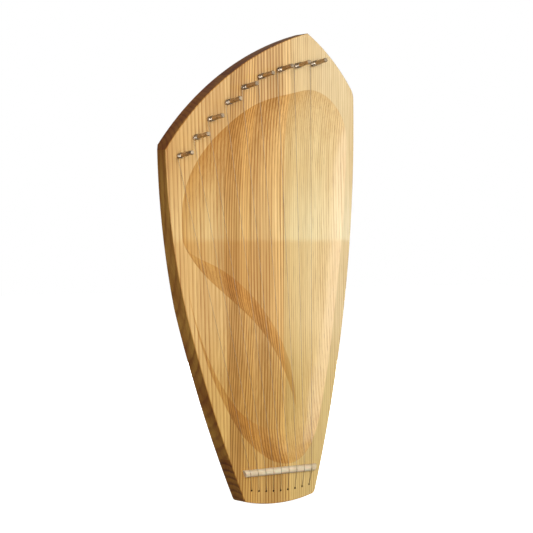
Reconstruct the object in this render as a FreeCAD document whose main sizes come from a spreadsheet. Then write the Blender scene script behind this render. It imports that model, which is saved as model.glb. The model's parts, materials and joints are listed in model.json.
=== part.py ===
import FreeCAD, Part
import math
import os

import Sketcher
from FreeCAD import Placement, Rotation, Vector

# Nine-string lap harp: a board of four glued staves with a carved double hollow,
# nine leaning tuning pins in an arc at the top, a low bridge and nine string holes
# at the bottom.
#
# Frame: millimetres, +X to the player's right across the front, +Z up along the
# grain, front face in the plane Y = 0 looking towards -Y, lowest point at Z = 0.

STRINGS = 9

DIMENSIONS = {
    # Board outline: six points joined by six outward arcs
    "zero": 0.0,
    "board_thickness": 22.5,
    "apex_x": 61.2,
    "apex_z": 517.2,
    "left_corner_out": 127.8,
    "left_corner_z": 383.0,
    "left_waist_out": 95.8,
    "left_waist_z": 192.2,
    "foot_left_out": 24.8,
    "foot_left_z": 4.9,
    "foot_right_x": 70.9,
    "foot_right_z": 6.9,
    "shoulder_x": 127.2,
    "shoulder_z": 453.6,
    "foot_arc": 194.0,
    "right_arc": 1500.0,
    "shoulder_arc": 212.0,
    "crown_arc": 347.0,
    "left_arc": 746.0,
    # Rounding of the outline's corners, and the small bevel on its edges
    "shoulder_round": 20.0,
    "foot_right_round": 7.0,
    "foot_left_round": 5.0,
    "edge_ease": 0.6,
    # Bevel for the hand along the upper left of the back: outside of a wide cone
    "grip_centre_x": 769.9,
    "grip_centre_z": 408.2,
    "grip_radius": 893.0,
    "grip_slope": 0.785,
    "grip_reach": 12.0,
    # Glue joints between the staves
    "joint_left": -45.2,
    "joint_middle": -9.5,
    "joint_right": 37.0,
    # Carved hollow: one bowl, and the land left standing in its lower left
    "bowl_depth": 12.0,
    "bowl_lip": 1.5,
    "bowl_centre_x": 22.0,
    "bowl_centre_z": 235.0,
    "land_centre_out": 60.0,
    "land_centre_z": 130.0,
    "land_foot": 0.45,
    "land_height": 12.8,
    "ramp_start_out": 95.0,
    "ramp_start_z": 275.0,
    "ramp_turn": 53.13,
    "ramp_half_width": 230.0,
    # Tuning pins
    "pin_radius": 2.5,
    "pin_proud": 26.0,
    "pin_sunk": 19.0,
    "pin_lean": 7.0,
    "pin_across_flats": 4.4,
    "pin_square_length": 8.0,
    "pin_eye_radius": 0.5,
    "pin_eye_height": 14.0,
    "pin_chamfer": 0.5,
    "pin_bore_depth": 20.0,
    "pin_bore_clearance": 0.05,
    # Strings: thinnest at the short side, each next one a little thicker
    "string_thinnest": 0.35,
    "string_growth": 0.02,
    "string_wrap_rise": 2.0,
    "string_wrap_angle": 250.0,
    "string_clearance": 0.1,
    "coil_turns": 15.0,
    "coil_packing": 0.97,
    "coil_gap": 0.02,
    # String holes along a shallow arc, and the ball ends sunk behind them
    "hole_first_x": -16.2,
    "hole_step": 9.93,
    "hole_low_z": 13.6,
    "hole_rise": 3.2,
    "hole_radius": 1.1,
    "ball_pocket_radius": 2.5,
    "ball_pocket_depth": 6.0,
    "ball_radius": 2.0,
    "ball_length": 3.6,
    "ball_eye_radius": 0.5,
    "ball_round": 0.6,
    # Bridge bar
    "bridge_top_z": 39.5,
    "bridge_bottom_z": 32.0,
    "bridge_top_left_out": 28.5,
    "bridge_top_right_x": 71.0,
    "bridge_bottom_left_out": 25.5,
    "bridge_bottom_right_x": 68.5,
    "bridge_height": 5.0,
    "bridge_round": 3.4,
    "bridge_notch": 0.25,
    "bridge_notch_clearance": 0.3,
    "bridge_bend": 3.6,
}

# Where each tuning pin's axis meets the face, as (x, z), from the longest string.
PIN_PLACES = [
    (-111.5, 376.5),
    (-91.0, 396.5),
    (-72.5, 416.5),
    (-49.5, 435.5),
    (-28.0, 452.5),
    (-6.0, 465.0),
    (20.0, 474.0),
    (43.5, 479.5),
    (66.5, 483.0),
]

# Rim of the bowl in the face, as (x, z, power): a higher power is a steeper wall.
BOWL_RIM = [
    (52, 453, 6),
    (92, 446, 5.5),
    (113, 420, 5),
    (116, 375, 4.5),
    (113, 323, 4),
    (106, 258, 3.5),
    (98, 198, 3.5),
    (90, 148, 4),
    (81, 105, 5),
    (67, 64, 7),
    (47, 45, 9),
    (21, 44, 9),
    (-6, 57.5, 8),
    (-33, 83, 7),
    (-54, 115, 6),
    (-72, 150, 5),
    (-87, 190, 4.5),
    (-97, 225, 4),
    (-104, 268, 4),
    (-107.3, 315, 4),
    (-100, 350, 4.5),
    (-52, 408.6, 5),
    (-4, 438, 5.5),
]

# Edge of the land where it would meet the face, as (x, z, unused) points. Its right
# side is the crest across the hollow, and the rest runs outside the bowl.
LAND_EDGE = [
    (-112, 305, 0),
    (-100, 276, 0),
    (-64, 239, 0),
    (-30, 212, 0),
    (0, 181, 0),
    (17, 152, 0),
    (27, 122, 0),
    (33, 90, 0),
    (34, 55, 0),
    (20, 15, 0),
    (-40, -10, 0),
    (-110, 20, 0),
    (-150, 110, 0),
    (-165, 210, 0),
    (-155, 290, 0),
    (-130, 318, 0),
]

# Top of the land: how deep it lies at each distance along its fall.
RAMP_FALL = [
    (-80, -0.9),
    (0, -0.15),
    (60, 0.8),
    (110, 2.7),
    (160, 6.0),
    (200, 8.9),
    (240, 11.0),
    (280, 12.2),
    (340, 12.7),
]

doc = FreeCAD.newDocument("lap_harp")


# ------------------------------------------------------------------ document helpers


def fill_sheet():
    """Put the driving dimensions in a spreadsheet, one named cell each."""
    sheet = doc.addObject("Spreadsheet::Sheet", "dims")
    for row, (alias, value) in enumerate(DIMENSIONS.items(), start=1):
        sheet.set(f"A{row}", alias)
        sheet.set(f"B{row}", str(value))
        sheet.setAlias(f"B{row}", alias)
    doc.recompute()
    return sheet


sheet = fill_sheet()


def dim(alias):
    return float(getattr(sheet, alias))


def bind(item, **formulas):
    """Bind properties of a document object to the spreadsheet's cells."""
    for name, formula in formulas.items():
        item.setExpression(name, formula)


def origin_plane(body, role):
    return next(f for f in body.Origin.OriginFeatures if f.Role == role)


def new_body(label, placement=Placement()):
    body = doc.addObject("PartDesign::Body", label)
    body.Label = label
    body.Placement = placement
    return body


def new_sketch(body, plane_role, name):
    sketch = body.newObject("Sketcher::SketchObject", name)
    sketch.AttachmentSupport = [(origin_plane(body, plane_role), "")]
    sketch.MapMode = "FlatFace"
    return sketch


def pin_point(sketch, name, geometry, end, x, z, x_cell, z_cell):
    """Hold a sketch point at signed distances from the origin, each bound to a cell."""
    for kind, value, cell in (("DistanceX", x, x_cell), ("DistanceY", z, z_cell)):
        ends = (-1, 1, geometry, end) if value >= 0 else (geometry, end, -1, 1)
        index = sketch.addConstraint(Sketcher.Constraint(kind, *ends, abs(value)))
        label = f"{name}_{kind.lower()}"
        sketch.renameConstraint(index, label)
        sketch.setExpression(f"Constraints.{label}", f"dims.{cell}")


def name_size(sketch, index, name, formula):
    sketch.renameConstraint(index, name)
    sketch.setExpression(f"Constraints.{name}", formula)


def polygon_sketch(body, plane_role, name, corners):
    """Closed polygon from (name, x, z, x_cell, z_cell) corners, all bound to cells."""
    sketch = new_sketch(body, plane_role, name)
    points = [Vector(x, z, 0) for _, x, z, _, _ in corners]
    count = len(points)
    for i in range(count):
        sketch.addGeometry(Part.LineSegment(points[i], points[(i + 1) % count]), False)
    for i in range(count):
        sketch.addConstraint(Sketcher.Constraint("Coincident", i, 2, (i + 1) % count, 1))
    for i, (corner, x, z, x_cell, z_cell) in enumerate(corners):
        pin_point(sketch, corner, i, 1, x, z, x_cell, z_cell)
    return sketch


def edges_where(shape, test):
    return [f"Edge{i}" for i, edge in enumerate(shape.Edges, start=1) if test(edge)]


def add_fillet(body, base, name, edges, radius_cell):
    fillet = body.newObject("PartDesign::Fillet", name)
    fillet.Base = (base, edges)
    bind(fillet, Radius=f"dims.{radius_cell}")
    doc.recompute()
    return fillet


# ------------------------------------------------------------------ board


def outward_arc(start, end, radius):
    """Arc of a circle from start to end, counter-clockwise, less than half a turn."""
    chord = end - start
    middle = (start + end) * 0.5
    to_centre = math.sqrt(radius**2 - (chord.Length / 2) ** 2)
    inward = Vector(-chord.y, chord.x, 0).normalize()
    centre = middle + inward * to_centre
    first = math.atan2(start.y - centre.y, start.x - centre.x)
    last = math.atan2(end.y - centre.y, end.x - centre.x)
    return Part.ArcOfCircle(Part.Circle(centre, Vector(0, 0, 1), radius), first, last)


def board_corners():
    """The outline's points, counter-clockwise: name, x, z and their cells."""
    places = [
        ("foot_left", -1, "foot_left_out", "foot_left_z"),
        ("foot_right", 1, "foot_right_x", "foot_right_z"),
        ("shoulder", 1, "shoulder_x", "shoulder_z"),
        ("apex", 1, "apex_x", "apex_z"),
        ("left_corner", -1, "left_corner_out", "left_corner_z"),
        ("left_waist", -1, "left_waist_out", "left_waist_z"),
    ]
    return [
        (name, side * dim(x_cell), dim(z_cell), x_cell, z_cell)
        for name, side, x_cell, z_cell in places
    ]


def outline_sketch(body):
    """Six arcs; the lowest one on the left runs on smoothly from the one above it."""
    sketch = new_sketch(body, "XZ_Plane", "board_outline")
    corners = board_corners()
    points = [Vector(x, z, 0) for _, x, z, _, _ in corners]
    arcs = ["foot_arc", "right_arc", "shoulder_arc", "crown_arc", "left_arc"]
    count = len(corners)
    for i in range(count):
        radius = dim(arcs[i]) if i < len(arcs) else 2 * dim("left_arc")
        sketch.addGeometry(outward_arc(points[i], points[(i + 1) % count], radius), False)
    for i in range(count - 2):
        sketch.addConstraint(Sketcher.Constraint("Coincident", i, 2, i + 1, 1))
    sketch.addConstraint(Sketcher.Constraint("Tangent", count - 2, 2, count - 1, 1))
    sketch.addConstraint(Sketcher.Constraint("Coincident", count - 1, 2, 0, 1))
    for i, (corner, x, z, x_cell, z_cell) in enumerate(corners):
        pin_point(sketch, corner, i, 1, x, z, x_cell, z_cell)
    for i, arc in enumerate(arcs):
        index = sketch.addConstraint(Sketcher.Constraint("Radius", i, dim(arc)))
        name_size(sketch, index, f"{arc}_radius", f"dims.{arc}")
    return sketch


def make_board_blank():
    """Uncarved board: the outline padded to its thickness, corners and edges eased."""
    body = new_body("board_blank")
    pad = body.newObject("PartDesign::Pad", "board_pad")
    pad.Profile = outline_sketch(body)
    pad.Reversed = True
    bind(pad, Length="dims.board_thickness")
    doc.recompute()

    base = pad
    for corner, x, z, _, _ in board_corners():
        if corner not in ("shoulder", "foot_right", "foot_left"):
            continue
        edges = edges_where(
            base.Shape,
            lambda e: all(math.hypot(v.X - x, v.Z - z) < 0.1 for v in e.Vertexes),
        )
        base = add_fillet(body, base, f"{corner}_fillet", edges, f"{corner}_round")

    bevel = body.newObject("PartDesign::Chamfer", "edge_bevel")
    bevel.Base = (base, edges_where(base.Shape, lambda e: e.BoundBox.YLength < 0.01))
    bind(bevel, Size="dims.edge_ease")
    body.Tip = bevel
    return body


def make_grip():
    """What the hand bevel takes off the back: a block outside a wide, shallow cone."""
    reach = dim("grip_reach")
    front = dim("board_thickness") - reach
    block = doc.addObject("Part::Box", "grip_block")
    block.Placement = Placement(Vector(-140, front, 180), Rotation())
    block.Length = 60
    block.Height = 220
    bind(block, Width="dims.grip_reach + 1")
    cone = doc.addObject("Part::Cone", "grip_cone")
    centre = Vector(dim("grip_centre_x"), front, dim("grip_centre_z"))
    cone.Placement = Placement(centre, Rotation(Vector(1, 0, 0), -90))
    bind(
        cone,
        Radius1="dims.grip_radius + dims.grip_reach * dims.grip_slope",
        Radius2="dims.grip_radius - dims.grip_slope",
        Height="dims.grip_reach + 1",
    )
    return cut("grip", block, cone)


def ring_solid(label, rim, centre_x, centre_z, levels, ring_at):
    """Solid whose wall is the rim drawn in or out from a centre, level by level.

    ring_at(level, power) gives the ring's size as a fraction of the rim, and its
    depth behind the face, where power is the third number of the rim's points.
    """
    outline = Part.BSplineCurve()
    outline.interpolate(Points=[Vector(x, power, z) for x, z, power in rim], PeriodicFlag=True)
    columns = []
    for pole in outline.getPoles():
        rings = [ring_at(level, pole.y) for level in levels]
        profile = Part.BSplineCurve()
        profile.interpolate(Points=[Vector(f, depth, 0) for f, depth in rings], Parameters=levels)
        reach_x = pole.x - centre_x
        reach_z = pole.z - centre_z
        columns.append(
            [Vector(centre_x + p.x * reach_x, p.y, centre_z + p.x * reach_z) for p in profile.getPoles()]
        )
    surface = Part.BSplineSurface()
    surface.buildFromPolesMultsKnots(
        [list(row) for row in zip(*columns)],
        profile.getMultiplicities(),
        outline.getMultiplicities(),
        profile.getKnots(),
        outline.getKnots(),
        False,
        True,
        profile.Degree,
        outline.Degree,
    )
    first, last = surface.bounds()[0:2]
    ends = [Part.Face(Part.Wire([surface.uIso(u).toShape()])) for u in (first, last)]
    skin = Part.makeShell([surface.toShape(), *ends])
    skin.sewShape()
    solid = Part.makeSolid(Part.Shell(skin.Faces))
    if solid.Volume < 0:
        solid.reverse()
    return add_shape(label, solid)


def add_shape(label, shape):
    feature = doc.addObject("Part::Feature", label)
    feature.Label = label
    feature.Shape = shape
    return feature


def make_bowl():
    """The whole hollow: nearly flat in the middle, its walls steepening to the rim."""
    depth = dim("bowl_depth")
    lip = dim("bowl_lip")
    innermost = 0.05

    def ring_at(level, power):
        outward = (level - innermost) / (1 - innermost)
        at_rim = innermost + (1 - innermost) * (depth / (depth + lip)) ** (1 / power)
        return level / at_rim, depth - (depth + lip) * outward**power

    levels = [innermost, 0.2, 0.35, 0.5, 0.62, 0.72, 0.81, 0.89, 0.95, 1.0]
    return ring_solid(
        "bowl", BOWL_RIM, dim("bowl_centre_x"), dim("bowl_centre_z"), levels, ring_at
    )


def make_land():
    """Wood left in the bowl: a hill with a hollow foot, sliced off along a long ramp."""
    height = dim("land_height")
    foot = dim("land_foot")

    def ring_at(level, _):
        return 1 + foot * level, height * (1 - (1 - level) ** 2)

    levels = [-0.07, 0.0, 0.2, 0.4, 0.6, 0.8, 1.0]
    hill = ring_solid(
        "land_hill", LAND_EDGE, -dim("land_centre_out"), dim("land_centre_z"), levels, ring_at
    )
    fall = Part.BSplineCurve()
    fall.interpolate(Points=[Vector(run, depth, 0) for run, depth in RAMP_FALL])
    start = Vector(*RAMP_FALL[0], 0)
    end = Vector(*RAMP_FALL[-1], 0)
    under = 2 * height
    corners = [end, Vector(end.x, under, 0), Vector(start.x, under, 0), start]
    section = Part.Face(Part.Wire([fall.toShape(), *Part.makePolygon(corners).Edges]))
    half_width = dim("ramp_half_width")
    section.translate(Vector(0, 0, -half_width))
    ramp = add_shape("land_ramp", section.extrude(Vector(0, 0, 2 * half_width)))
    ramp.Placement = Placement(
        Vector(-dim("ramp_start_out"), 0, dim("ramp_start_z")),
        Rotation(Vector(0, 1, 0), dim("ramp_turn")),
    )
    land = doc.addObject("Part::Common", "land")
    land.Base = hill
    land.Tool = ramp
    return land


def add_drill(label, radius, height, placement):
    """Cylinder that drills a hole, with its sizes given as spreadsheet formulas."""
    drill = doc.addObject("Part::Cylinder", label)
    drill.Label = label
    bind(drill, Radius=radius, Height=height)
    drill.Placement = placement
    return drill


def cut(label, base, tool):
    result = doc.addObject("Part::Cut", label)
    result.Label = label
    result.Base = base
    result.Tool = tool
    return result


# ------------------------------------------------------------------ pins and strings


def lean_rotation():
    """Turns +Z to a tuning pin's axis: out of the front face, tips leaning up."""
    return Rotation(Vector(1, 0, 0), 90 - dim("pin_lean"))


def pin_axis():
    return lean_rotation().multVec(Vector(0, 0, 1))


def pin_base(index):
    """Where the pin's axis meets the front face."""
    x, z = PIN_PLACES[index]
    return Vector(x, 0, z)


def pin_placement(index, along=0.0):
    return Placement(pin_base(index) + pin_axis() * along, lean_rotation())


def hole_centre(index):
    """Centre of a string hole in the front face, on a shallow arc."""
    middle = (STRINGS - 1) / 2
    x = dim("hole_first_x") + index * dim("hole_step")
    z = dim("hole_low_z") + dim("hole_rise") * ((index - middle) / middle) ** 2
    return Vector(x, 0, z)


def string_diameter(index):
    return dim("string_thinnest") + index * dim("string_growth")


def turn_radius(index):
    """Radius of the string's last turn round its pin, to the middle of the wire."""
    return dim("pin_radius") + dim("string_clearance") + string_diameter(index) / 2


def string_route(index):
    """Corners of the string's straight runs, and the centre and normal of its last turn."""
    radius = string_diameter(index) / 2
    axis = pin_axis()
    hole = hole_centre(index)
    rise = dim("string_wrap_rise")
    centre = pin_base(index) + axis * (rise / math.cos(math.radians(dim("pin_lean"))))
    out = turn_radius(index)
    start = hole + Vector(0, dim("board_thickness") - 3.0, 0)
    lip = hole + Vector(0, -radius - 0.2, dim("hole_radius") - radius - 0.15)
    crown_z = (dim("bridge_top_z") + dim("bridge_bottom_z")) / 2 - 0.4
    crown_y = -(dim("bridge_height") - dim("bridge_notch") + radius)
    end = centre + Vector(-out, 0, 0)
    for _ in range(4):
        part_way = (crown_z - lip.z) / (end.z - lip.z)
        crown = Vector(lip.x + (end.x - lip.x) * part_way, crown_y, crown_z)
        along = (end - crown).normalize()
        normal = (axis - along * axis.dot(along)).normalize()
        end = centre + normal.cross(along) * out
    return [start, lip, crown, end], centre, normal


def string_solid(index):
    """String as straight runs joined by tangent arcs, ending in a turn round its pin."""
    corners, centre, normal = string_route(index)
    radius = string_diameter(index) / 2
    bends = [2 * string_diameter(index), dim("bridge_bend")]
    pieces = []
    start = corners[0]
    for corner, following, bend in zip(corners[1:], corners[2:], bends):
        before = (corner - start).normalize()
        after = (following - corner).normalize()
        turn = before.getAngle(after)
        setback = bend * math.tan(turn / 2)
        arc_start = corner - before * setback
        pieces.append(Part.makeCylinder(radius, (arc_start - start).Length, start, before))
        hinge = before.cross(after).normalize()
        arc_centre = arc_start + hinge.cross(before) * bend
        section = Part.Face(Part.Wire([Part.Circle(arc_start, before, radius).toShape()]))
        pieces.append(section.revolve(arc_centre, hinge, math.degrees(turn)))
        start = corner + after * setback
    end = corners[-1]
    along = (end - start).normalize()
    pieces.append(Part.makeCylinder(radius, (end - start).Length, start, along))
    section = Part.Face(Part.Wire([Part.Circle(end, along, radius).toShape()]))
    pieces.append(section.revolve(centre, normal * -1, dim("string_wrap_angle")))
    return pieces[0].multiFuse(pieces[1:]).removeSplitter()


def add_string(index):
    return add_shape(f"string_{index + 1}", string_solid(index))


def coil_start(index):
    """Height on the pin of the middle of the coil's lowest turn."""
    corners, centre = string_route(index)[0:2]
    along = (corners[3] - corners[2]).normalize()
    top_of_turn = (centre - pin_base(index) + along * turn_radius(index)).dot(pin_axis())
    return top_of_turn + string_diameter(index) + dim("string_clearance")


def make_winding(index):
    """Coil of string on the pin: close turns, one ring repeated up the pin."""
    body = new_body(f"string_winding_{index + 1}", pin_placement(index))
    sketch = new_sketch(body, "XZ_Plane", f"turn_{index + 1}")
    radius = string_diameter(index) / 2
    middle = dim("pin_radius") + dim("coil_gap") + radius
    height = coil_start(index)
    sketch.addGeometry(Part.Circle(Vector(middle, height, 0), Vector(0, 0, 1), radius), False)
    diameter = f"(dims.string_thinnest + {index} * dims.string_growth)"
    size = sketch.addConstraint(Sketcher.Constraint("Radius", 0, radius))
    name_size(sketch, size, "wire_radius", f"{diameter} / 2")
    out = sketch.addConstraint(Sketcher.Constraint("DistanceX", -1, 1, 0, 3, middle))
    name_size(sketch, out, "turn_radius", f"dims.pin_radius + dims.coil_gap + {diameter} / 2")
    sketch.addConstraint(Sketcher.Constraint("DistanceY", -1, 1, 0, 3, height))
    ring = body.newObject("PartDesign::Revolution", f"ring_{index + 1}")
    ring.Profile = sketch
    ring.ReferenceAxis = (sketch, ["V_Axis"])
    ring.Angle = 360
    doc.recompute()
    coil = body.newObject("PartDesign::LinearPattern", f"coil_{index + 1}")
    coil.Originals = [ring]
    coil.Direction = (sketch, ["V_Axis"])
    coil.Occurrences = int(dim("coil_turns"))
    bind(coil, Length=f"{diameter} * dims.coil_packing * (dims.coil_turns - 1)")
    body.Tip = coil
    return body


def make_tuning_pin(index):
    """Steel pin: round shank, square head with a chamfered end, eye for the string."""
    body = new_body(f"tuning_pin_{index + 1}", pin_placement(index))
    number = index + 1
    profile = polygon_sketch(
        body,
        "XZ_Plane",
        f"pin_profile_{number}",
        [
            ("foot_middle", 0.0, -dim("pin_sunk"), "zero", "pin_sunk"),
            ("foot_edge", dim("pin_radius"), -dim("pin_sunk"), "pin_radius", "pin_sunk"),
            ("tip_edge", dim("pin_radius"), dim("pin_proud"), "pin_radius", "pin_proud"),
            ("tip_middle", 0.0, dim("pin_proud"), "zero", "pin_proud"),
        ],
    )
    shank = body.newObject("PartDesign::Revolution", f"shank_{number}")
    shank.Profile = profile
    shank.ReferenceAxis = (profile, ["V_Axis"])
    shank.Angle = 360
    doc.recompute()

    flats = new_sketch(body, "XY_Plane", f"pin_flats_{number}")
    flats.AttachmentOffset = Placement(Vector(0, 0, dim("pin_proud")), Rotation())
    bind(flats, **{"AttachmentOffset.Base.z": "dims.pin_proud"})
    half = dim("pin_across_flats") / 2
    outside = 2 * dim("pin_radius")
    flats.addGeometry(Part.Circle(Vector(0, 0, 0), Vector(0, 0, 1), outside), False)
    corners = [Vector(x, y, 0) for x, y in ((-half, -half), (half, -half), (half, half), (-half, half))]
    for i in range(4):
        flats.addGeometry(Part.LineSegment(corners[i], corners[(i + 1) % 4]), False)
    for i in range(4):
        flats.addConstraint(Sketcher.Constraint("Coincident", i + 1, 2, (i + 1) % 4 + 1, 1))
    for side in (1, 3):
        flats.addConstraint(Sketcher.Constraint("Horizontal", side))
        flats.addConstraint(Sketcher.Constraint("Vertical", side + 1))
    flats.addConstraint(Sketcher.Constraint("Symmetric", 1, 1, 3, 1, -1, 1))
    for name, side, kind in (("flats_width", 1, "DistanceX"), ("flats_depth", 2, "DistanceY")):
        size = flats.addConstraint(Sketcher.Constraint(kind, side, 1, side, 2, 2 * half))
        name_size(flats, size, name, "dims.pin_across_flats")
    rim = flats.addConstraint(Sketcher.Constraint("Radius", 0, outside))
    name_size(flats, rim, "outside_radius", "2 * dims.pin_radius")
    flats.addConstraint(Sketcher.Constraint("Coincident", 0, 3, -1, 1))
    square = body.newObject("PartDesign::Pocket", f"square_{number}")
    square.Profile = flats
    bind(square, Length="dims.pin_square_length")
    doc.recompute()

    tip = dim("pin_proud")
    on_tip = edges_where(square.Shape, lambda e: at_height(e, tip))
    chamfer = body.newObject("PartDesign::Chamfer", f"tip_chamfer_{number}")
    chamfer.Base = (square, on_tip)
    bind(chamfer, Size="dims.pin_chamfer")
    doc.recompute()

    eye = new_sketch(body, "XZ_Plane", f"pin_eye_{number}")
    height = dim("pin_eye_height")
    eye.addGeometry(Part.Circle(Vector(0, height, 0), Vector(0, 0, 1), dim("pin_eye_radius")), False)
    eye.addConstraint(Sketcher.Constraint("PointOnObject", 0, 3, -2))
    place = eye.addConstraint(Sketcher.Constraint("DistanceY", -1, 1, 0, 3, height))
    name_size(eye, place, "eye_height", "dims.pin_eye_height")
    size = eye.addConstraint(Sketcher.Constraint("Radius", 0, dim("pin_eye_radius")))
    name_size(eye, size, "eye_radius", "dims.pin_eye_radius")
    hole = body.newObject("PartDesign::Pocket", f"eye_{number}")
    hole.Profile = eye
    hole.Midplane = True
    bind(hole, Length="4 * dims.pin_radius")
    body.Tip = hole
    return body


def at_height(edge, height):
    """True if an edge lies in the plane at this height along its body's own Z."""
    middle = edge.valueAt((edge.FirstParameter + edge.LastParameter) / 2)
    return all(abs(p.z - height) < 0.001 for p in (edge.Vertexes[0].Point, middle))


def make_ball_end(index):
    """Brass bead that holds the string's lower end in its pocket at the back."""
    seat = dim("board_thickness") - dim("ball_pocket_depth")
    place = Placement(hole_centre(index) + Vector(0, seat, 0), Rotation(Vector(1, 0, 0), -90))
    body = new_body(f"ball_end_{index + 1}", place)
    number = index + 1
    profile = polygon_sketch(
        body,
        "XZ_Plane",
        f"bead_profile_{number}",
        [
            ("front_eye", dim("ball_eye_radius"), 0.0, "ball_eye_radius", "zero"),
            ("front_rim", dim("ball_radius"), 0.0, "ball_radius", "zero"),
            ("back_rim", dim("ball_radius"), dim("ball_length"), "ball_radius", "ball_length"),
            ("back_eye", dim("ball_eye_radius"), dim("ball_length"), "ball_eye_radius", "ball_length"),
        ],
    )
    bead = body.newObject("PartDesign::Revolution", f"bead_{number}")
    bead.Profile = profile
    bead.ReferenceAxis = (profile, ["V_Axis"])
    bead.Angle = 360
    doc.recompute()
    rims = edges_where(
        bead.Shape,
        lambda e: e.Curve.TypeId == "Part::GeomCircle" and e.Curve.Radius > dim("ball_radius") - 0.01,
    )
    body.Tip = add_fillet(body, bead, f"bead_round_{number}", rims, "ball_round")
    return body


# ------------------------------------------------------------------ bridge


def add_notch(index):
    """Round notch under the string, halfway between its directions on the two sides."""
    lip, crown, end = string_route(index)[0][1:]
    along = ((crown - lip).normalize() + (end - crown).normalize()).normalize()
    half_length = dim("bridge_top_z") - dim("bridge_bottom_z")
    return add_drill(
        f"notch_{index + 1}",
        f"(dims.string_thinnest + {index} * dims.string_growth) / 2 + dims.bridge_notch_clearance",
        "2 * (dims.bridge_top_z - dims.bridge_bottom_z)",
        Placement(crown - along * half_length, Rotation(Vector(0, 0, 1), along)),
    )


def make_bridge():
    """Half-round bar with ends cut to follow the board's sides, notched by the strings."""
    body = new_body("bridge_bar")
    sketch = polygon_sketch(
        body,
        "XZ_Plane",
        "bridge_outline",
        [
            (
                "bottom_left",
                -dim("bridge_bottom_left_out"),
                dim("bridge_bottom_z"),
                "bridge_bottom_left_out",
                "bridge_bottom_z",
            ),
            (
                "bottom_right",
                dim("bridge_bottom_right_x"),
                dim("bridge_bottom_z"),
                "bridge_bottom_right_x",
                "bridge_bottom_z",
            ),
            (
                "top_right",
                dim("bridge_top_right_x"),
                dim("bridge_top_z"),
                "bridge_top_right_x",
                "bridge_top_z",
            ),
            (
                "top_left",
                -dim("bridge_top_left_out"),
                dim("bridge_top_z"),
                "bridge_top_left_out",
                "bridge_top_z",
            ),
        ],
    )
    pad = body.newObject("PartDesign::Pad", "bridge_pad")
    pad.Profile = sketch
    bind(pad, Length="dims.bridge_height")
    doc.recompute()
    front = -dim("bridge_height")
    long_front = edges_where(
        pad.Shape,
        lambda e: e.Length > 50 and abs(e.BoundBox.YMax - front) < 0.01,
    )
    body.Tip = add_fillet(body, pad, "bridge_fillet", long_front, "bridge_round")
    notches = doc.addObject("Part::MultiFuse", "string_notches")
    notches.Label = "string_notches"
    notches.Shapes = [add_notch(i) for i in range(STRINGS)]
    return cut("bridge", body, notches)


# ------------------------------------------------------------------ assembly


def make_staves(blank):
    """Bevel, carve and drill the blank, then part it along the glue joints."""
    gripped = cut("board_gripped", blank, make_grip())
    hollow = cut("hollow", make_bowl(), make_land())
    carved = cut("board_carved", gripped, hollow)

    drills = []
    backward = Rotation(Vector(1, 0, 0), -90)
    for i in range(STRINGS):
        number = i + 1
        drills.append(
            add_drill(
                f"pin_drill_{number}",
                "dims.pin_radius + dims.pin_bore_clearance",
                "dims.pin_bore_depth + 2 * dims.pin_radius",
                pin_placement(i, -dim("pin_bore_depth")),
            )
        )
        ahead = Vector(0, -dim("hole_radius"), 0)
        drills.append(
            add_drill(
                f"hole_drill_{number}",
                "dims.hole_radius",
                "dims.board_thickness + 2 * dims.hole_radius",
                Placement(hole_centre(i) + ahead, backward),
            )
        )
        seat = Vector(0, dim("board_thickness") - dim("ball_pocket_depth"), 0)
        drills.append(
            add_drill(
                f"pocket_drill_{number}",
                "dims.ball_pocket_radius",
                "2 * dims.ball_pocket_depth",
                Placement(hole_centre(i) + seat, backward),
            )
        )
    all_drills = doc.addObject("Part::MultiFuse", "all_drills")
    all_drills.Label = "all_drills"
    all_drills.Shapes = drills
    drilled = cut("board_drilled", carved, all_drills)

    margin = 20.0
    borders = [
        -dim("left_corner_out") - margin,
        dim("joint_left"),
        dim("joint_middle"),
        dim("joint_right"),
        dim("shoulder_x") + margin,
    ]
    staves = []
    for number, (left, right) in enumerate(zip(borders, borders[1:]), start=1):
        zone = doc.addObject("Part::Box", f"stave_zone_{number}")
        zone.Label = f"stave_zone_{number}"
        zone.Length = right - left
        zone.Width = dim("board_thickness") + 2 * margin
        zone.Height = dim("apex_z") + 2 * margin
        zone.Placement = Placement(Vector(left, -margin, -margin), Rotation())
        stave = doc.addObject("Part::Common", f"body_stave_{number}")
        stave.Label = f"body_stave_{number}"
        stave.Base = drilled
        stave.Tool = zone
        staves.append(stave)
    return staves


def check_and_export(parts):
    """Stop if anything failed to build, then write each sub-part's own file."""
    for item in doc.Objects:
        if "Invalid" in item.State or "Error" in item.State:
            raise RuntimeError(f"{item.Label} failed: {item.State}")
    os.makedirs("parts", exist_ok=True)
    for part in parts:
        shape = part.Shape
        if shape.isNull() or not shape.isValid() or len(shape.Solids) != 1:
            raise RuntimeError(f"{part.Label} is not one valid solid")
        shape.exportStep(f"parts/{part.Label}.step")
        print(part.Label, round(shape.Volume, 1))


parts = make_staves(make_board_blank())
parts.append(make_bridge())
for i in range(STRINGS):
    parts.append(make_tuning_pin(i))
    parts.append(make_winding(i))
    parts.append(add_string(i))
    parts.append(make_ball_end(i))
doc.recompute()
check_and_export(parts)
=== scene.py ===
import json
import math

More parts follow.
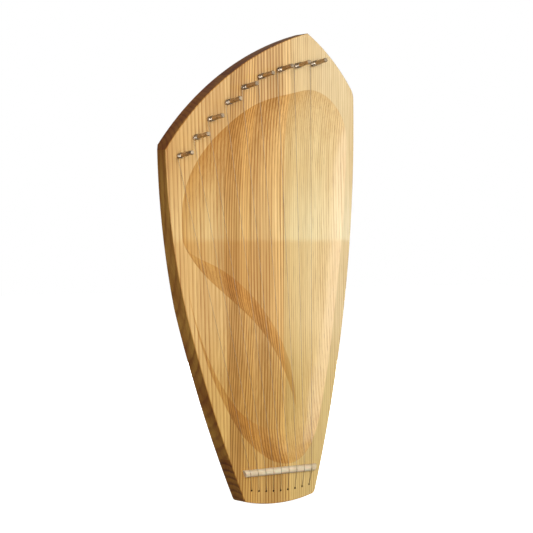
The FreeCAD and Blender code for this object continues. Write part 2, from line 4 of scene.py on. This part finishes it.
import bpy
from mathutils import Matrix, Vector


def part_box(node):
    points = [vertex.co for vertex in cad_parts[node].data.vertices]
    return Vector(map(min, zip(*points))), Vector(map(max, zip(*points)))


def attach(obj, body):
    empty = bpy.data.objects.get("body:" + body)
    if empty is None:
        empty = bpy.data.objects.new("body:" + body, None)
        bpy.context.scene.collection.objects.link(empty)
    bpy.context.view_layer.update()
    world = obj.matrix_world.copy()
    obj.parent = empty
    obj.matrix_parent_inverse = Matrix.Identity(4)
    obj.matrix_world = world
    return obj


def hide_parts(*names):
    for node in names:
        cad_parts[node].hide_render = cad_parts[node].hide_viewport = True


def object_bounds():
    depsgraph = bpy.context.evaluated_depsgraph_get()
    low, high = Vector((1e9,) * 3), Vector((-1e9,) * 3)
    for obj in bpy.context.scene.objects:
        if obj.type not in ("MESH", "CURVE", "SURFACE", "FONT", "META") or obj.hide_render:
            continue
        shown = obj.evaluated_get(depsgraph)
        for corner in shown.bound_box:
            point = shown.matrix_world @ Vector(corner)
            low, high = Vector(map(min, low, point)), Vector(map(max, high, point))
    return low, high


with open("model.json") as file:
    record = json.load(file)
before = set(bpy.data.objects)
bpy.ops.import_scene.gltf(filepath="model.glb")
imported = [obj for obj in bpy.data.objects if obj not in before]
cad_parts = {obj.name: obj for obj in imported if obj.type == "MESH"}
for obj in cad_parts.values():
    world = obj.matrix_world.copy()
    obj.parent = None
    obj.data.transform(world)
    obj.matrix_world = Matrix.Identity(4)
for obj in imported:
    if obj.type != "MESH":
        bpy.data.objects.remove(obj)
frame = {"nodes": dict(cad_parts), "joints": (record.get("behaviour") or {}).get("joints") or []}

# Looks for the nine-string lap harp: lacquered ash staves, a bone-like bridge, bright
# steel pins and strings, and real coils of wire on the pins. Metres throughout, in the
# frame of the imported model: +X right, +Z up the grain, the front face towards -Y.

STRINGS = 9
MM = 0.001
PIN_RADIUS = 2.5 * MM

# The wire of a coil is drawn a little thinner than the string and a little off the pin.
COIL_THINNING = 0.01 * MM
COIL_GAP = 0.03 * MM
COIL_PITCH = 2.05  # in wire radii
COIL_STEPS_PER_TURN = 28

# The staves are sawn from four different planks. For each:
#   light, dark    colours between and on its growth rings
#   heart          (x, y) of the line that the rings run round, outside the board
#   ring_width     from one ring to the next
#   taper          how fast the rings close along the grain
#   noise_offset   shifts its noise away from its neighbours'
#   lines, clouds  weights of the dark ring lines and of the long cloudy streaks
#   shade          it darkens towards one side: x where darkest, x where plain, the tint;
#                  on the first plank it is painted shade on the left rim
#   pooled         tint of the hollow; on the first plank it lightens and cools it, painted light
PLANKS = [
    {
        "light": (0.65, 0.450, 0.190),
        "dark": (0.36, 0.185, 0.055),
        "heart": (-0.165, 0.03),
        "ring_width": 4.6 * MM,
        "taper": 0.035,
        "noise_offset": (3, 1, 7),
        "lines": 0.78,
        "clouds": 0.60,
        # painted shade on the left rim
        "shade": (-0.122, -0.070, (0.84, 0.76, 0.66)),
        # painted light, lightening and cooling the hollow
        "hollow_tint_and_painted_light": (1.03, 1.07, 1.08),
    },
    {
        "light": (0.67, 0.425, 0.160),
        "dark": (0.27, 0.125, 0.028),
        "heart": (0.10, 0.02),
        "ring_width": 3.4 * MM,
        "taper": 0.02,
        "noise_offset": (11, 5, 2),
        "lines": 0.95,
        "clouds": 0.50,
        "shade": (-0.045, -0.034, (0.78, 0.72, 0.64)),
        "hollow_tint_and_painted_light": (1.00, 0.95, 0.84),
    },
    {
        "light": (0.71, 0.490, 0.220),
        "dark": (0.30, 0.150, 0.040),
        "heart": (-0.22, 0.03),
        "ring_width": 4.0 * MM,
        "taper": 0.012,
        "noise_offset": (6, 9, 4),
        "lines": 1.00,
        "clouds": 0.45,
        "shade": (-0.010, 0.037, (0.95, 0.91, 0.86)),
        "hollow_tint_and_painted_light": (1.00, 0.95, 0.84),
    },
    {
        "light": (0.69, 0.565, 0.335),
        "dark": (0.43, 0.285, 0.122),
        "heart": (-0.25, 0.02),
        "ring_width": 2.8 * MM,
        "taper": 0.004,
        "noise_offset": (2, 8, 5),
        "lines": 0.72,
        "clouds": 0.34,
        "shade": (0.037, 0.085, (0.94, 0.86, 0.73)),
        "hollow_tint_and_painted_light": (0.96, 0.94, 0.84),
    },
]

# Tints that multiply the colour of the wood, some of them painted shade, and the painted
# shade that fills the string holes
# end grain, and painted shade on walls that face right
END_GRAIN_AND_SHADE = (0.93, 0.77, 0.53)
# painted shade on the upward faces of the sides
TOP_EDGE_SHADE = (0.66, 0.52, 0.36)
# a mottle on the sides, darkened as painted shade
SIDE_MOTTLE_SHADE_DARK = (0.78, 0.55, 0.24)
SIDE_MOTTLE_SHADE_PALE = (1.0, 0.87, 0.49)
# darker towards the lower end
LOW_END_TINT = (0.86, 0.82, 0.60)
HOLE_SHADE = (0.030, 0.014, 0.006)

# Distances that those tints reach, and how strongly the lower end is darkened at each height
HOLE_SHADE_REACH = 1.25 * MM
HOLLOW_DEPTH = 12.0 * MM
LOW_END_HEIGHTS = [(0.0, 1.0), (0.13, 0.75), (0.20, 0.0)]

# How fine each pattern in the wood is across (x, y) and along the grain (z), per metre
SWAY_SCALE = (7.0, 7.0, 1.6)
RIPPLE_SCALE = (70.0, 70.0, 5.0)
FIBRE_SCALE = (520.0, 520.0, 7.0)
PORE_SCALE = (1500.0, 1500.0, 38.0)
CLOUD_SCALE = (42.0, 42.0, 1.8)
BLOTCH_SCALE = (45.0, 45.0, 14.0)
WEAR_SCALE = (30.0, 30.0, 30.0)

# How far the sway and the ripple push the rings, and the weights of fibres and pores
SWAY = 12.0 * MM
RIPPLE = 2.2 * MM
FIBRE_WEIGHT = 0.34
PORE_WEIGHT = 0.60
PORE_DARKNESS = 0.42

# Darkness across one ring, from its late wood round to the next
RING_PROFILE = [(0.0, 1.0), (0.16, 0.80), (0.34, 0.22), (0.74, 0.0), (0.90, 0.20), (1.0, 1.0)]

# The other materials' colours
# The pins' brown is a painted reflection of the wood on bright steel.
PIN_COLOUR_WOOD_REFLECTION = (0.47, 0.36, 0.24)
WIRE_COLOUR = (0.29, 0.225, 0.155)
COIL_COLOUR = (0.52, 0.46, 0.38)
BRASS_BRIGHT = (0.80, 0.56, 0.24)
BRASS_PATINA = (0.50, 0.32, 0.12)
BONE_LIGHT = (0.60, 0.51, 0.365)
BONE_DARK = (0.50, 0.405, 0.26)
BONE_FLECK = (0.50, 0.38, 0.22)
TARNISHED = 0.62  # of the steel's own brightness

# Studio: each softbox's place, width, height, power, colour, and whether it shows in
# the lacquer and lights the wood
SOFTBOXES = {
    "key": ((-0.75, -1.75, 0.25), 1.6, 1.4, 66.0, (1.0, 0.975, 0.94), True, True),
    "fill": ((0.25, -1.60, 1.35), 1.2, 0.8, 13.5, (1.0, 0.985, 0.96), False, True),
    "back": ((1.0, 1.9, 0.0), 1.6, 1.4, 85.0, (1.0, 0.975, 0.94), False, True),
    "window": ((1.20, -1.56, 0.80), 0.45, 0.45, 2.0, (1.0, 1.0, 1.0), True, False),
}

# Light that falls through a slot: the heights on the board between which it fades, and
# its brightness at fractions of the way from the lower to the upper
SLIT_PLACE = (0.25, -2.2, 0.30)
SLIT_POWER = 74.0
SLIT_COLOUR = (0.42, 0.90, 1.70)
SLIT_RADIUS = 4.0 * MM
SLIT_HEIGHTS = (0.27, 0.37)
SLIT_STOPS = [(0.165, 0.0), (0.20, 1.0), (0.42, 0.8), (0.95, 0.0)]

# Room light: dim on the left, brighter on the right, plain white to the camera
ROOM_SPAN = (-0.7, 0.6)
ROOM_STRENGTH = (0.10, 0.25)

CAMERA_AZIMUTH = -37.0
CAMERA_ELEVATION = 1.0
CAMERA_DISTANCE = 1.881
CAMERA_AIM = (0.0042, 0.0003, 0.2597)
CAMERA_LENS = 116.6

cad_low, cad_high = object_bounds()
joints = {joint["name"]: joint for joint in frame["joints"]}
scene = bpy.context.scene
scene.view_settings.view_transform = "Standard"


# ------------------------------------------------------------------ node helpers


class Graph:
    """Short names for building a material's node tree."""

    def __init__(self, name):
        self.material = bpy.data.materials.new(name)
        self.material.use_nodes = True
        self.tree = self.material.node_tree
        self.shader = self.tree.nodes["Principled BSDF"]
        self.tree.nodes["Material Output"].target = "ALL"

    def add(self, kind, **settings):
        node = self.tree.nodes.new(kind)
        for name, value in settings.items():
            setattr(node, name, value)
        return node

    def feed(self, value, socket):
        """Link an output socket, or set a plain value."""
        if isinstance(value, bpy.types.NodeSocket):
            self.tree.links.new(value, socket)
        else:
            socket.default_value = value

    def maths(self, operation, first, second=0.0, third=0.0, clamp=False):
        node = self.add("ShaderNodeMath", operation=operation, use_clamp=clamp)
        for socket, value in zip(node.inputs, (first, second, third)):
            self.feed(value, socket)
        return node.outputs[0]

    def split(self, vector):
        node = self.add("ShaderNodeSeparateXYZ")
        self.feed(vector, node.inputs[0])
        return node.outputs

    def join(self, x, y, z):
        node = self.add("ShaderNodeCombineXYZ")
        for socket, value in zip(node.inputs, (x, y, z)):
            self.feed(value, socket)
        return node.outputs[0]

    def distance(self, vector, point):
        node = self.add("ShaderNodeVectorMath", operation="DISTANCE")
        self.feed(vector, node.inputs[0])
        node.inputs[1].default_value = point
        return node.outputs["Value"]

    def stretch(self, vector, scale, offset=(0.0, 0.0, 0.0)):
        node = self.add("ShaderNodeMapping")
        self.feed(vector, node.inputs["Vector"])
        node.inputs["Scale"].default_value = scale
        node.inputs["Location"].default_value = offset
        return node.outputs[0]

    def noise(self, vector, scale=1.0, detail=3.0, roughness=0.5):
        node = self.add("ShaderNodeTexNoise")
        self.feed(vector, node.inputs["Vector"])
        node.inputs["Scale"].default_value = scale
        node.inputs["Detail"].default_value = detail
        node.inputs["Roughness"].default_value = roughness
        return node.outputs["Fac"]

    def ramp(self, value, stops):
        """Colour ramp from (position, colour or grey) stops."""
        node = self.add("ShaderNodeValToRGB")
        self.feed(value, node.inputs[0])
        elements = node.color_ramp.elements
        while len(elements) < len(stops):
            elements.new(0.5)
        for element, (position, colour) in zip(elements, stops):
            element.position = position
            if not hasattr(colour, "__len__"):
                colour = (colour, colour, colour)
            element.color = (*colour, 1.0)
        return node.outputs[0]

    def mix(self, factor, first, second, blend="MIX"):
        node = self.add("ShaderNodeMix", data_type="RGBA", blend_type=blend)
        self.feed(factor, node.inputs["Factor"])
        for value, socket in ((first, node.inputs[6]), (second, node.inputs[7])):
            if isinstance(value, tuple):
                value = (*value, 1.0)
            self.feed(value, socket)
        return node.outputs[2]

    def tinted(self, factor, colour, tint):
        """The colour, multiplied by the tint where the factor is 1."""
        return self.mix(factor, colour, self.mix(1.0, colour, tint, "MULTIPLY"))

    def bump(self, height, strength, distance):
        node = self.add("ShaderNodeBump")
        self.feed(height, node.inputs["Height"])
        node.inputs["Strength"].default_value = strength
        node.inputs["Distance"].default_value = distance
        self.feed(node.outputs[0], self.shader.inputs["Normal"])

    def surface(self, **values):
        for name, value in values.items():
            self.feed(value, self.shader.inputs[name.replace("_", " ")])


# ------------------------------------------------------------------ wood


def growth_rings(g, at, plank):
    """Dark at each growth ring and plain between, as tubes round the plank's heart line."""
    offset = plank["noise_offset"]
    heart_x, heart_y = plank["heart"]
    x, y, z = g.split(at)
    sway = g.noise(g.stretch(at, SWAY_SCALE, offset), detail=2.0)
    ripple = g.noise(g.stretch(at, RIPPLE_SCALE, offset), detail=3.0)
    across = g.maths("SUBTRACT", x, heart_x)
    deep = g.maths("SUBTRACT", y, heart_y)
    squares = g.maths("ADD", g.maths("MULTIPLY", across, across), g.maths("MULTIPLY", deep, deep))
    radius = g.maths("SQRT", squares)
    radius = g.maths("MULTIPLY_ADD", z, plank["taper"], radius)
    radius = g.maths("MULTIPLY_ADD", sway, SWAY, radius)
    radius = g.maths("MULTIPLY_ADD", ripple, RIPPLE, radius)
    count = g.maths("DIVIDE", radius, plank["ring_width"])
    band = g.ramp(g.maths("FRACT", count), RING_PROFILE)

    # Some years' rings are stronger than others'.
    year = g.join(g.maths("MULTIPLY", count, 0.45), offset[0], g.maths("MULTIPLY", z, 5.0))
    strength = g.ramp(g.noise(year, detail=2.0), [(0.32, 0.35), (0.66, 1.0)])
    return g.maths("MULTIPLY", band, strength)


def plain_wood(g, at, plank):
    """Colour of the clean plank, with its fibres and pores, which also shape its bumps."""
    offset = plank["noise_offset"]
    band = growth_rings(g, at, plank)
    fibres = g.noise(g.stretch(at, FIBRE_SCALE, offset), detail=4.0, roughness=0.62)
    fibres = g.ramp(fibres, [(0.38, 0.0), (0.64, 1.0)])
    pores = g.noise(g.stretch(at, PORE_SCALE, offset), detail=2.0)
    pores = g.ramp(pores, [(0.56, 0.0), (0.66, 1.0)])
    pores = g.maths("MULTIPLY", pores, g.maths("MULTIPLY_ADD", band, 0.75, 0.25))
    clouds = g.noise(g.stretch(at, CLOUD_SCALE, offset), detail=3.0)
    clouds = g.ramp(clouds, [(0.34, 0.0), (0.70, 1.0)])

    tone = g.maths("MULTIPLY", band, plank["lines"])
    tone = g.maths("MULTIPLY_ADD", fibres, FIBRE_WEIGHT, tone)
    tone = g.maths("MULTIPLY_ADD", clouds, plank["clouds"], tone, clamp=True)
    colour = g.mix(tone, plank["light"], plank["dark"])
    pore_colour = tuple(c * PORE_DARKNESS for c in plank["dark"])
    colour = g.mix(g.maths("MULTIPLY", pores, PORE_WEIGHT), colour, pore_colour)

    # Darker towards one side: painted shade on the first plank's left rim, a dark joint on the
    # second, darker towards the left on the third and fourth.
    darkest, plainest, tint = plank["shade"]
    from_darkest = g.maths("SUBTRACT", g.split(at)[0], darkest)
    aside = g.maths("DIVIDE", from_darkest, plainest - darkest, clamp=True)
    colour = g.mix(aside, g.mix(1.0, colour, tint, "MULTIPLY"), colour)
    return colour, fibres, pores


def cut_and_shaded_wood(g, at, normal, plank, colour):
    """Tint the walls of the hollow and the board's sides, and say where the sides are.

    Where the carving or the outline cuts through the fibres, their open ends drink
    more lacquer and turn deeper and redder. Walls that face right take the same tint
    as painted shade, the sides get a darker mottle that is partly painted shade, and
    their upward faces are darker still, painted shade.
    """
    nx, ny, nz = g.split(normal)
    side = g.ramp(g.maths("ABSOLUTE", ny), [(0.15, 1.0), (0.80, 0.0)])
    # Painted shade: walls that face right, and a little those that face left, take the end-grain
    # tint as if turned from the light; faces across the grain (along z) take it as real end grain.
    facing_right_shade = g.maths("MAXIMUM", nx, g.maths("MULTIPLY", nx, -0.30))
    facing_right_shade = g.maths("MULTIPLY", facing_right_shade, g.maths("SUBTRACT", 1.0, side))
    end_grain_and_shade = g.maths("MULTIPLY_ADD", facing_right_shade, 1.3, g.maths("ABSOLUTE", nz))
    colour = g.tinted(g.ramp(end_grain_and_shade, [(0.05, 0.0), (0.48, 1.0)]), colour, END_GRAIN_AND_SHADE)

    # Painted shade: the sides are darkened with a mottle, as if turned from the light.
    side_mottle_and_shade = g.noise(g.stretch(at, BLOTCH_SCALE, plank["noise_offset"]), detail=3.0)
    side_mottle_and_shade = g.ramp(side_mottle_and_shade, [(0.38, SIDE_MOTTLE_SHADE_DARK), (0.58, SIDE_MOTTLE_SHADE_PALE)])
    colour = g.tinted(side, colour, side_mottle_and_shade)
    # Painted shade: the upward faces of the sides are darker still.
    top_edge_shade = g.maths("MULTIPLY", side, g.maths("MAXIMUM", nz, 0.0))
    return g.tinted(top_edge_shade, colour, TOP_EDGE_SHADE), side


def hollow_end_and_hole_tints(g, at, normal, plank, colour):
    """Hollow tint (painted light on plank one), darker lower end, painted shade in holes."""
    x, y, z = g.split(at)
    facing_front = g.maths("MULTIPLY", g.split(normal)[1], -1.0)
    facing_front = g.ramp(facing_front, [(0.15, 0.0), (0.80, 1.0)])
    # Tint in the hollow; on the first plank it lightens and cools the hollow as painted light.
    hollow = g.maths("MULTIPLY", g.ramp(y, [(0.0, 0.0), (HOLLOW_DEPTH, 1.0)]), facing_front)
    colour = g.tinted(hollow, colour, plank["hollow_tint_and_painted_light"])

    # Darker towards the lower end.
    low_end = g.ramp(z, LOW_END_HEIGHTS)
    colour = g.tinted(low_end, colour, LOW_END_TINT)

    # Painted shade: the string holes and a thin ring round them are filled near black.
    nearest = 1.0
    for hole in hole_places():
        nearest = g.maths("MINIMUM", nearest, g.distance(g.join(x, 0.0, z), hole))
    nearest = g.maths("DIVIDE", nearest, HOLE_SHADE_REACH)
    return g.mix(g.ramp(nearest, [(0.86, 1.0), (1.0, 0.0)]), colour, HOLE_SHADE)


def ash(name, plank):
    """Lacquered ash sawn from the plank."""
    g = Graph(name)
    place = g.add("ShaderNodeTexCoord")
    at = place.outputs["Object"]
    normal = place.outputs["Normal"]
    colour, fibres, pores = plain_wood(g, at, plank)
    colour, side = cut_and_shaded_wood(g, at, normal, plank, colour)
    colour = hollow_end_and_hole_tints(g, at, normal, plank, colour)

    g.bump(g.maths("MULTIPLY_ADD", pores, -0.7, g.maths("MULTIPLY", fibres, 0.3)), 0.22, 0.10 * MM)
    wear = g.noise(g.stretch(at, WEAR_SCALE, plank["noise_offset"]), detail=4.0)
    g.surface(
        Base_Color=colour,
        Roughness=g.ramp(wear, [(0.3, 0.42), (0.7, 0.52)]),
        Specular_IOR_Level=0.28,
        Coat_Weight=g.maths("MULTIPLY_ADD", side, -0.12, 0.22),
        Coat_Roughness=0.16,
        Coat_IOR=1.5,
    )
    return g.material


def hole_places():
    """Where each string goes through the board, seen from the front."""
    places = []
    for number in range(1, STRINGS + 1):
        low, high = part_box(f"ball_end_{number}")
        places.append(((low.x + high.x) / 2, 0.0, (low.z + high.z) / 2))
    return places


# ------------------------------------------------------------------ metal and bone


def steel(name, colour, roughness, scratch_scale):
    """Drawn steel with fine scratches and a little tarnish."""
    g = Graph(name)
    at = g.add("ShaderNodeTexCoord").outputs["Object"]
    scratches = g.noise(g.stretch(at, scratch_scale), detail=4.0)
    tarnish = g.noise(g.stretch(at, (260.0, 260.0, 260.0)), detail=3.0)
    dull = tuple(c * TARNISHED for c in colour)
    g.surface(
        Base_Color=g.mix(g.ramp(tarnish, [(0.4, 0.0), (0.75, 1.0)]), colour, dull),
        Metallic=1.0,
        Roughness=g.ramp(scratches, [(0.3, roughness), (0.7, roughness + 0.14)]),
    )
    g.bump(scratches, 0.15, 0.02 * MM)
    return g.material


def brass():
    """Turned brass with rings from the tool and a little patina."""
    g = Graph("turned_brass")
    at = g.add("ShaderNodeTexCoord").outputs["Object"]
    turning = g.noise(g.stretch(at, (300.0, 4000.0, 300.0)), detail=3.0)
    patina = g.noise(g.stretch(at, (500.0, 500.0, 500.0)), detail=3.0)
    g.surface(
        Base_Color=g.mix(patina, BRASS_BRIGHT, BRASS_PATINA),
        Metallic=1.0,
        Roughness=g.ramp(turning, [(0.3, 0.22), (0.7, 0.38)]),
    )
    g.bump(turning, 0.2, 0.02 * MM)
    return g.material


def bone():
    """Off-white bar with fine lengthwise flecks and a soft polish."""
    g = Graph("bone_bar")
    at = g.add("ShaderNodeTexCoord").outputs["Object"]
    flecks = g.noise(g.stretch(at, (120.0, 1500.0, 1500.0)), detail=4.0)
    mottle = g.noise(g.stretch(at, (90.0, 90.0, 90.0)), detail=3.0)
    mottled = g.ramp(mottle, [(0.35, 0.0), (0.7, 1.0)])
    base = g.mix(mottled, BONE_LIGHT, BONE_DARK)
    flecked = g.ramp(flecks, [(0.56, 0.0), (0.72, 0.5)])
    g.surface(
        Base_Color=g.mix(flecked, base, BONE_FLECK),
        Roughness=g.ramp(mottle, [(0.3, 0.30), (0.7, 0.42)]),
        Subsurface_Weight=0.15,
        Subsurface_Scale=1.5 * MM,
    )
    g.bump(flecks, 0.2, 0.03 * MM)
    return g.material


def put_on(node_name, material):
    """Give a CAD node the material in every slot."""
    mesh = frame["nodes"][node_name].data
    mesh.materials.clear()
    mesh.materials.append(material)


# ------------------------------------------------------------------ coils of string


def tube(name, points, radius, sides=8):
    """Closed round tube through the points, with flat ends."""
    vertices = []
    faces = []
    side_way = None
    for i, point in enumerate(points):
        ahead = points[min(i + 1, len(points) - 1)]
        behind = points[max(i - 1, 0)]
        along = (ahead - behind).normalized()
        if side_way is None:
            side_way = along.orthogonal().normalized()
        side_way = (side_way - along * side_way.dot(along)).normalized()
        other_way = along.cross(side_way)
        for k in range(sides):
            turn = 2 * math.pi * k / sides
            spoke = side_way * math.cos(turn) + other_way * math.sin(turn)
            vertices.append(point + spoke * radius)
    for i in range(len(points) - 1):
        for k in range(sides):
            low = i * sides
            high = low + sides
            after = (k + 1) % sides
            faces.append((low + k, low + after, high + after, high + k))
    last = (len(points) - 1) * sides
    faces.append(tuple(reversed(range(sides))))
    faces.append(tuple(last + k for k in range(sides)))
    mesh = bpy.data.meshes.new(name)
    mesh.from_pydata(vertices, [], faces)
    mesh.update()
    for polygon in mesh.polygons:
        polygon.use_smooth = len(polygon.vertices) == 4
    piece = bpy.data.objects.new(name, mesh)
    scene.collection.objects.link(piece)
    return piece


def string_radius(number):
    """Half the string's diameter, read from the sleeve of rings that stands for its coil."""
    low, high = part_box(f"string_winding_{number}")
    pin_low, pin_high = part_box(f"tuning_pin_{number}")
    return ((high.x - low.x) - (pin_high.x - pin_low.x)) / 4


def wind_coil(number, material):
    """Helix of wire up the pin, in the place of its sleeve of rings."""
    joint = joints[f"pin_{number}_turn"]
    base = Vector(joint["pos_m"])
    axis = Vector(joint["axis"]).normalized()
    right = Vector((1, 0, 0))
    up = axis.cross(right)
    up.normalize()
    node = frame["nodes"][f"string_winding_{number}"]
    heights = [(vertex.co - base).dot(axis) for vertex in node.data.vertices]
    radius = string_radius(number) - COIL_THINNING
    start = min(heights) + radius
    finish = max(heights) - radius
    coil_radius = PIN_RADIUS + COIL_GAP + radius
    turns = (finish - start) / (COIL_PITCH * radius)
    steps = int(turns * COIL_STEPS_PER_TURN)
    points = []
    for i in range(steps + 1):
        angle = -2 * math.pi * i / COIL_STEPS_PER_TURN + math.pi
        height = start + (finish - start) * i / steps
        spoke = right * math.cos(angle) + up * math.sin(angle)
        points.append(base + axis * height + spoke * coil_radius)
    coil = tube(f"string_coil_{number}", points, radius)
    coil.data.materials.append(material)
    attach(coil, f"pin_{number}")
    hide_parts(f"string_winding_{number}")


# ------------------------------------------------------------------ studio


def add_floor():
    """White floor, for the camera only."""
    bpy.ops.mesh.primitive_plane_add(size=12, location=(0, 0, cad_low[2] - 0.5 * MM))
    floor = bpy.context.object
    floor.name = "studio_floor"
    g = Graph("white_floor")
    at = g.add("ShaderNodeTexCoord").outputs["Object"]
    g.surface(
        Base_Color=(0.9, 0.9, 0.9, 1.0),
        Roughness=g.ramp(g.noise(at, 3.0), [(0.0, 0.8), (1.0, 0.9)]),
        Emission_Color=(1.0, 1.0, 1.0, 1.0),
        Emission_Strength=0.9,
    )
    floor.data.materials.append(g.material)
    floor.visible_diffuse = False
    floor.visible_glossy = False


def add_room():
    """White surroundings for the camera. Their light is dim on the left, bright on the right."""
    world = bpy.data.worlds.new("studio")
    scene.world = world
    world.use_nodes = True
    nodes = world.node_tree.nodes
    links = world.node_tree.links
    background = nodes["Background"]
    path = nodes.new("ShaderNodeLightPath")
    strength = nodes.new("ShaderNodeMix")
    strength.inputs["B"].default_value = 1.0
    background.inputs["Color"].default_value = (1.0, 1.0, 1.0, 1.0)
    links.new(path.outputs["Is Camera Ray"], strength.inputs["Factor"])
    links.new(strength.outputs["Result"], background.inputs["Strength"])

    where = nodes.new("ShaderNodeTexCoord")
    apart = nodes.new("ShaderNodeSeparateXYZ")
    shade = nodes.new("ShaderNodeMapRange")
    links.new(where.outputs["Generated"], apart.inputs["Vector"])
    links.new(apart.outputs["X"], shade.inputs["Value"])
    shade.inputs["From Min"].default_value, shade.inputs["From Max"].default_value = ROOM_SPAN
    shade.inputs["To Min"].default_value, shade.inputs["To Max"].default_value = ROOM_STRENGTH
    links.new(shade.outputs["Result"], strength.inputs["A"])


def add_softbox(name, place, width, height, power, colour, shows, lights):
    light = bpy.data.lights.new(name, "AREA")
    light.shape = "RECTANGLE"
    light.size = width
    light.size_y = height
    light.energy = power
    light.color = colour
    lamp = bpy.data.objects.new(name, light)
    scene.collection.objects.link(lamp)
    lamp.location = place
    middle = Vector((0, 0, (cad_low[2] + cad_high[2]) / 2))
    lamp.rotation_euler = (middle - lamp.location).to_track_quat("-Z", "Y").to_euler()
    lamp.visible_glossy = shows
    lamp.visible_diffuse = lights


def add_slit_light():
    """Light through a slot: a level band across the board, sharp below and soft above."""
    light = bpy.data.lights.new("slit", "POINT")
    light.shadow_soft_size = SLIT_RADIUS
    light.color = SLIT_COLOUR
    light.energy = SLIT_POWER
    light.use_nodes = True
    nodes = light.node_tree.nodes
    links = light.node_tree.links
    way = nodes.new("ShaderNodeTexCoord")
    apart = nodes.new("ShaderNodeSeparateXYZ")
    slope = nodes.new("ShaderNodeMath")
    slope.operation = "DIVIDE"
    band = nodes.new("ShaderNodeValToRGB")
    height = nodes.new("ShaderNodeMapRange")
    links.new(way.outputs["Normal"], apart.inputs["Vector"])
    links.new(apart.outputs["Z"], slope.inputs[0])
    links.new(apart.outputs["Y"], slope.inputs[1])
    links.new(slope.outputs[0], height.inputs["Value"])
    for key, level in zip(("From Min", "From Max"), SLIT_HEIGHTS):
        height.inputs[key].default_value = (level - SLIT_PLACE[2]) / -SLIT_PLACE[1]
    links.new(height.outputs["Result"], band.inputs["Fac"])
    stops = band.color_ramp.elements
    for i, (position, grey) in enumerate(SLIT_STOPS):
        stop = stops[i] if i < 2 else stops.new(position)
        stop.position = position
        stop.color = (grey, grey, grey, 1)
    links.new(band.outputs["Color"], nodes["Emission"].inputs["Color"])
    lamp = bpy.data.objects.new("slit", light)
    lamp.location = SLIT_PLACE
    lamp.visible_glossy = False
    scene.collection.objects.link(lamp)


def add_camera():
    """Long lens from the front left, level with the middle of the board."""
    azimuth = math.radians(CAMERA_AZIMUTH)
    elevation = math.radians(CAMERA_ELEVATION)
    away = Vector(
        (
            math.sin(azimuth) * math.cos(elevation),
            -math.cos(azimuth) * math.cos(elevation),
            math.sin(elevation),
        )
    )
    data = bpy.data.cameras.new("camera")
    data.lens = CAMERA_LENS
    data.sensor_width = 36.0
    data.clip_end = 100.0
    camera = bpy.data.objects.new("camera", data)
    scene.collection.objects.link(camera)
    camera.location = Vector(CAMERA_AIM) + away * CAMERA_DISTANCE
    camera.rotation_euler = (-away).to_track_quat("-Z", "Y").to_euler()
    scene.camera = camera


# ------------------------------------------------------------------ build


add_camera()
add_floor()
add_room()
for name, settings in SOFTBOXES.items():
    add_softbox(name, *settings)
add_slit_light()

for number, plank in enumerate(PLANKS, 1):
    put_on(f"body_stave_{number}", ash(f"ash_{number}", plank))
put_on("bridge", bone())
# The pins' steel is tinted brown, a painted reflection of the wood.
pin_steel_wood_reflection = steel("pin_steel_wood_reflection", PIN_COLOUR_WOOD_REFLECTION, 0.22, (1500.0, 200.0, 1500.0))
wire_steel = steel("wire_steel", WIRE_COLOUR, 0.34, (1500.0, 1500.0, 200.0))
coil_steel = steel("coil_steel", COIL_COLOUR, 0.20, (900.0, 900.0, 900.0))
bead_brass = brass()
for number in range(1, STRINGS + 1):
    put_on(f"tuning_pin_{number}", pin_steel_wood_reflection)
    put_on(f"string_{number}", wire_steel)
    put_on(f"ball_end_{number}", bead_brass)
    wind_coil(number, coil_steel)
